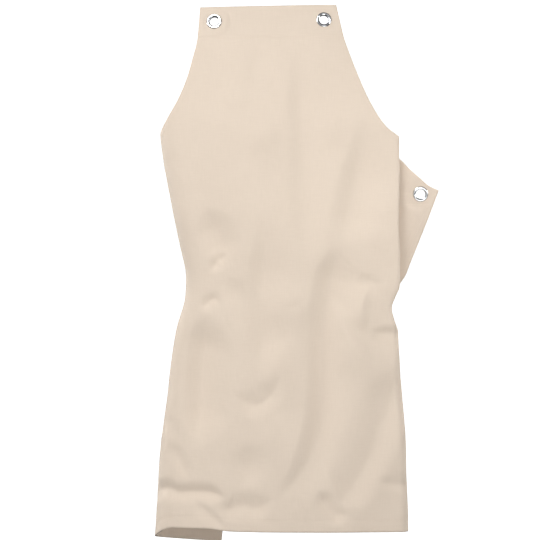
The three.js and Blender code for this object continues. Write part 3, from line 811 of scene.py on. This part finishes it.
def spun(name, colour, roughness, metallic, grain):
    """Plain material whose gloss and surface vary a little from place to place."""
    scale, depth = grain
    made, shader = new_material(name, roughness[0], metallic)
    nodes, links = made.node_tree.nodes, made.node_tree.links
    shader.inputs["Base Color"].default_value = (*colour, 1)
    place = nodes.new("ShaderNodeTexCoord")
    noise = nodes.new("ShaderNodeTexNoise")
    noise.inputs["Scale"].default_value = scale
    links.new(place.outputs["Object"], noise.inputs["Vector"])
    gloss = nodes.new("ShaderNodeMapRange")
    gloss.inputs["To Min"].default_value, gloss.inputs["To Max"].default_value = roughness
    links.new(noise.outputs["Fac"], gloss.inputs["Value"])
    links.new(gloss.outputs["Result"], shader.inputs["Roughness"])
    bump = nodes.new("ShaderNodeBump")
    bump.inputs["Distance"].default_value = depth * METRES
    links.new(noise.outputs["Fac"], bump.inputs["Height"])
    links.new(bump.outputs["Normal"], shader.inputs["Normal"])
    return made


def woven(name, pale, deep):
    """Cotton in plain weave: crossing threads, slubs along both, soft unevenness and a little sheen."""
    made, shader = new_material(name, COTTON_ROUGHNESS, 0)
    nodes, links = made.node_tree.nodes, made.node_tree.links
    shader.inputs["Sheen Weight"].default_value = SHEEN
    shader.inputs["Sheen Roughness"].default_value = SHEEN_ROUGHNESS
    shader.inputs["Specular IOR Level"].default_value = COTTON_SPECULAR

    def add(kind, **values):
        node = nodes.new(kind)
        for key, value in values.items():
            setattr(node, key, value)
        return node

    def scaled(x, y):
        node = add("ShaderNodeMapping")
        node.inputs["Scale"].default_value = (x, y, 1)
        links.new(cloth_map.outputs["UV"], node.inputs["Vector"])
        return node

    def noise(x, y, detail):
        node = add("ShaderNodeTexNoise", noise_dimensions="2D")
        node.inputs["Scale"].default_value = 1
        node.inputs["Detail"].default_value = detail
        links.new(scaled(x, y).outputs["Vector"], node.inputs["Vector"])
        return node.outputs["Fac"]

    def threads(direction):
        node = add("ShaderNodeTexWave", bands_direction=direction)
        node.inputs["Scale"].default_value = WAVE_PERIOD / (THREAD_PITCH * METRES)
        node.inputs["Distortion"].default_value = THREAD_WANDER
        links.new(cloth_map.outputs["UV"], node.inputs["Vector"])
        return node.outputs["Fac"]

    def combined(operation, a, b):
        node = add("ShaderNodeMath", operation=operation)
        for socket, value in zip(node.inputs, (a, b)):
            if isinstance(value, (int, float)):
                socket.default_value = value
            else:
                links.new(value, socket)
        return node.outputs["Value"]

    def blend(a, share_a, b, share_b):
        return combined("ADD", combined("MULTIPLY", a, share_a), combined("MULTIPLY", b, share_b))

    def bump(height, strength, depth):
        node = add("ShaderNodeBump")
        node.inputs["Strength"].default_value = strength
        node.inputs["Distance"].default_value = depth * METRES
        links.new(height, node.inputs["Height"])
        return node

    cloth_map = add("ShaderNodeUVMap", uv_map="cloth")
    slubs = combined("ADD", noise(*SLUBS_ACROSS), noise(*SLUBS_DOWN))
    patches = noise(*PATCHES)
    tone = blend(slubs, SLUB_TONE, patches, PATCH_TONE)
    ramp = add("ShaderNodeValToRGB")
    for stop, position, colour in zip(ramp.color_ramp.elements, TONE_RANGE, (deep, pale)):
        stop.position = position
        stop.color = (*colour, 1)
    links.new(tone, ramp.inputs["Fac"])
    links.new(ramp.outputs["Color"], shader.inputs["Base Color"])

    weave = combined("MAXIMUM", threads("X"), threads("Y"))
    relief = blend(weave, WEAVE_RELIEF, slubs, SLUB_RELIEF)
    fine = bump(relief, *FINE_RELIEF)
    broad = bump(noise(*PUFFS), *BROAD_RELIEF)
    links.new(broad.outputs["Normal"], fine.inputs["Normal"])
    links.new(fine.outputs["Normal"], shader.inputs["Normal"])
    return made


# The frame and the materials
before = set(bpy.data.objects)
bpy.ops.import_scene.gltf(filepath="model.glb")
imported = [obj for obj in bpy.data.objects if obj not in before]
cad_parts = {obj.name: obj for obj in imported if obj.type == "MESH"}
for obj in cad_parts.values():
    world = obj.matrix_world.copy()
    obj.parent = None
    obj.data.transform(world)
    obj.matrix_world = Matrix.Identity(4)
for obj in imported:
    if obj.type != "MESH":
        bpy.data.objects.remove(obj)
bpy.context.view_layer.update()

cotton = woven("cotton_outside", COTTON_PALE, COTTON_DEEP)
# The same cotton for the band, hems and facings, with painted shade: a little darker than the outside
shaded_lining = woven("cotton_inside", SHADED_LINING_PALE, SHADED_LINING_DEEP)
thread = spun("thread", THREAD_COLOUR, THREAD_ROUGHNESS, 0, THREAD_GRAIN)
nickel = spun("nickel", NICKEL_COLOUR, NICKEL_ROUGHNESS, 1, NICKEL_GRAIN)

# The panel, with its holes
panel = wall("apron_cloth", *panel_net(), PANEL_FACE, -PANEL_FACE, [cotton])
cut_holes(panel, SEATS)
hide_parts("apron_panel")

# Band, hems and facings on the inside
z_band = even_levels(TOP_EDGE, BAND_FOOT)
share = np.linspace(0, 1, FRONT_CELLS + 1)
band_left = -edge("left", z_band)[:, None] * share[:0:-1]
band_right = edge("right", z_band)[:, None] * share
band_reach = np.hstack([band_left, band_right])
band = patch("band_cloth", band_reach, np.broadcast_to(z_band[:, None], band_reach.shape), [shaded_lining])
cut_holes(band, SEATS[:2])
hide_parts("bib_band")
inside = [band]

bottom_line = np.array([(-HALF_WIDTH, FRONT_HEM), (HALF_WIDTH, FRONT_HEM)], float)
bottom = hem("bottom_hem_cloth", bottom_line, HEM_TOP - FRONT_HEM, [shaded_lining])
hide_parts("bottom_hem")
inside.append(bottom)

seams = [
    ("bottom_stitches", [bottom_line + (0, HEM_TOP - FRONT_HEM - STITCH_INSET)]),
    ("band_stitches", [np.array([(-edge("left", BAND_FOOT), BAND_FOOT + STITCH_INSET),
                                 (edge("right", BAND_FOOT), BAND_FOOT + STITCH_INSET)])]),
]
for side, (hand, _) in SIDES.items():
    levels = np.linspace(BAND_FOOT, armhole_level(side, FACING_START), ARMHOLE_PLACES)
    armhole_line = np.stack([hand * edge(side, levels), levels], axis=1)[::hand]
    side_line = np.array([(hand * HALF_WIDTH, HEM_TOP), (hand * HALF_WIDTH, FACING_FOOT)], float)[::hand]
    armhole = hem(f"armhole_hem_cloth_{side}", armhole_line[::-1], EDGE_HEM, [shaded_lining])
    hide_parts(f"armhole_hem_{side}")
    side_hem = hem(f"side_hem_cloth_{side}", side_line, EDGE_HEM, [shaded_lining])
    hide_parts(f"side_hem_{side}")
    reach = np.linspace(FACING_START, HALF_WIDTH, math.ceil((HALF_WIDTH - FACING_START) / CELL) + 1)
    top = armhole_level(side, reach)
    rows = np.linspace(top, FACING_FOOT + 0 * top, FACING_LEVELS)
    facing = patch(f"facing_cloth_{side}", np.broadcast_to(hand * reach, rows.shape), rows, [shaded_lining])
    cut_holes(facing, [seat for seat in SEATS if seat.name == f"waist_{side}"])
    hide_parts(f"waist_facing_{side}")
    inside += [armhole, side_hem, facing]
    step_in = EDGE_HEM - STITCH_INSET
    seams.append((f"side_stitches_{side}", [
        armhole_line[::-1] + inward(armhole_line[::-1]) * step_in,
        side_line + inward(side_line) * step_in,
        np.array([(hand * FACING_START, FACING_FOOT + STITCH_INSET),
                  (hand * HALF_WIDTH, FACING_FOOT + STITCH_INSET)]),
    ]))
threads = [stitches(name, lines, (PANEL_FACE, FACING_BACK), thread) for name, lines in seams]

# Eyelets and their washers
for seat in SEATS:
    ring = eyelet(seat, nickel)
    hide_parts(f"eyelet_{seat.name}")
    back_ring = washer(seat, nickel)
    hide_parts(f"washer_{seat.name}")
    for piece in (ring, back_ring):
        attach(piece, "root")

for piece in [panel, *inside, *threads]:
    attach(piece, "root")

# Levels from the front hem to the top edge
levels = np.linspace(FRONT_HEM, TOP_EDGE, AREA_LEVELS)

# A pale floor and a pale backdrop around it, which only the camera sees
stage_paint, stage_shader = new_material("stage_paint", STAGE_ROUGHNESS, 0)
stage_shader.inputs["Base Color"].default_value = WHITE
stage_shader.inputs["Emission Color"].default_value = WHITE
stage_shader.inputs["Emission Strength"].default_value = 1
bpy.ops.mesh.primitive_circle_add(vertices=STAGE_SIDES, radius=STAGE_RADIUS, fill_type="NGON",
                                  location=(0, 0, FLOOR_LEVEL))
floor = bpy.context.object
floor.name = "floor"
bpy.ops.mesh.primitive_uv_sphere_add(segments=STAGE_SIDES, ring_count=STAGE_SIDES // 2, radius=STAGE_RADIUS,
                                     location=(0, 0, FLOOR_LEVEL))
backdrop = bpy.context.object
backdrop.name = "backdrop"
for stage_piece in (floor, backdrop):
    stage_piece.data.materials.append(stage_paint)
    stage_piece.visible_diffuse = False
    stage_piece.visible_glossy = False
    stage_piece.visible_shadow = False

# The sky and the lights
world = bpy.data.worlds.new("studio")
bpy.context.scene.world = world
world.use_nodes = True
sky_nodes, sky_links = world.node_tree.nodes, world.node_tree.links


def background(sky):
    """Background whose grey rises towards the bright way of a sky."""
    direction = sky_nodes.new("ShaderNodeTexCoord")
    towards = sky_nodes.new("ShaderNodeVectorMath")
    towards.operation = "DOT_PRODUCT"
    towards.inputs[1].default_value = sky.bright_way
    sky_links.new(direction.outputs["Generated"], towards.inputs[0])
    spread = sky_nodes.new("ShaderNodeMapRange")
    spread.inputs["From Min"].default_value = sky.start
    spread.inputs["To Min"].default_value = sky.low
    spread.inputs["To Max"].default_value = sky.high
    sky_links.new(towards.outputs["Value"], spread.inputs["Value"])
    shown = sky_nodes.new("ShaderNodeBackground")
    sky_links.new(spread.outputs["Result"], shown.inputs["Strength"])
    return shown.outputs["Background"]


def aim_light(data, place, aim):
    """Light put at a place and turned towards its aim."""
    made = bpy.data.objects.new(data.name, data)
    made.location = place
    made.rotation_euler = (Vector(aim) - Vector(place)).to_track_quat("-Z", "Y").to_euler()
    bpy.context.scene.collection.objects.link(made)


def area_light(light, aim):
    """Round soft light."""
    data = bpy.data.lights.new(light.name, "AREA")
    data.shape = "DISK"
    data.size = light.size
    data.energy = light.power
    aim_light(data, light.place, aim)


def spot_light(light, aim, angle):
    """Narrow soft light, strongest at its aim."""
    data = bpy.data.lights.new(light.name, "SPOT")
    data.shadow_soft_size = light.size
    data.spot_size = math.radians(angle)
    data.spot_blend = 1
    data.energy = light.power
    aim_light(data, light.place, aim)


rays = sky_nodes.new("ShaderNodeLightPath")
choice = sky_nodes.new("ShaderNodeMixShader")
sky_links.new(rays.outputs["Is Glossy Ray"], choice.inputs["Fac"])
sky_links.new(background(LIT_SKY), choice.inputs[1])
sky_links.new(background(MIRRORED_SKY), choice.inputs[2])
sky_links.new(choice.outputs["Shader"], sky_nodes["World Output"].inputs["Surface"])
for light in LIGHTS:
    area_light(light, LIGHT_AIM)
spot_light(ACCENT, ACCENT_AIM, ACCENT_ANGLE)

# The camera, level and facing +Y
camera = bpy.data.cameras.new("camera")
camera.sensor_width = SENSOR
camera.lens = SENSOR * -CAMERA[1] / FRAME_WIDTH
camera.clip_end = CAMERA_REACH
camera_object = bpy.data.objects.new("camera", camera)
camera_object.location = [value * METRES for value in CAMERA]
camera_object.rotation_euler = (math.pi / 2, 0, 0)
bpy.context.scene.collection.objects.link(camera_object)
bpy.context.scene.camera = camera_object
bpy.context.scene.view_settings.view_transform = "Standard"
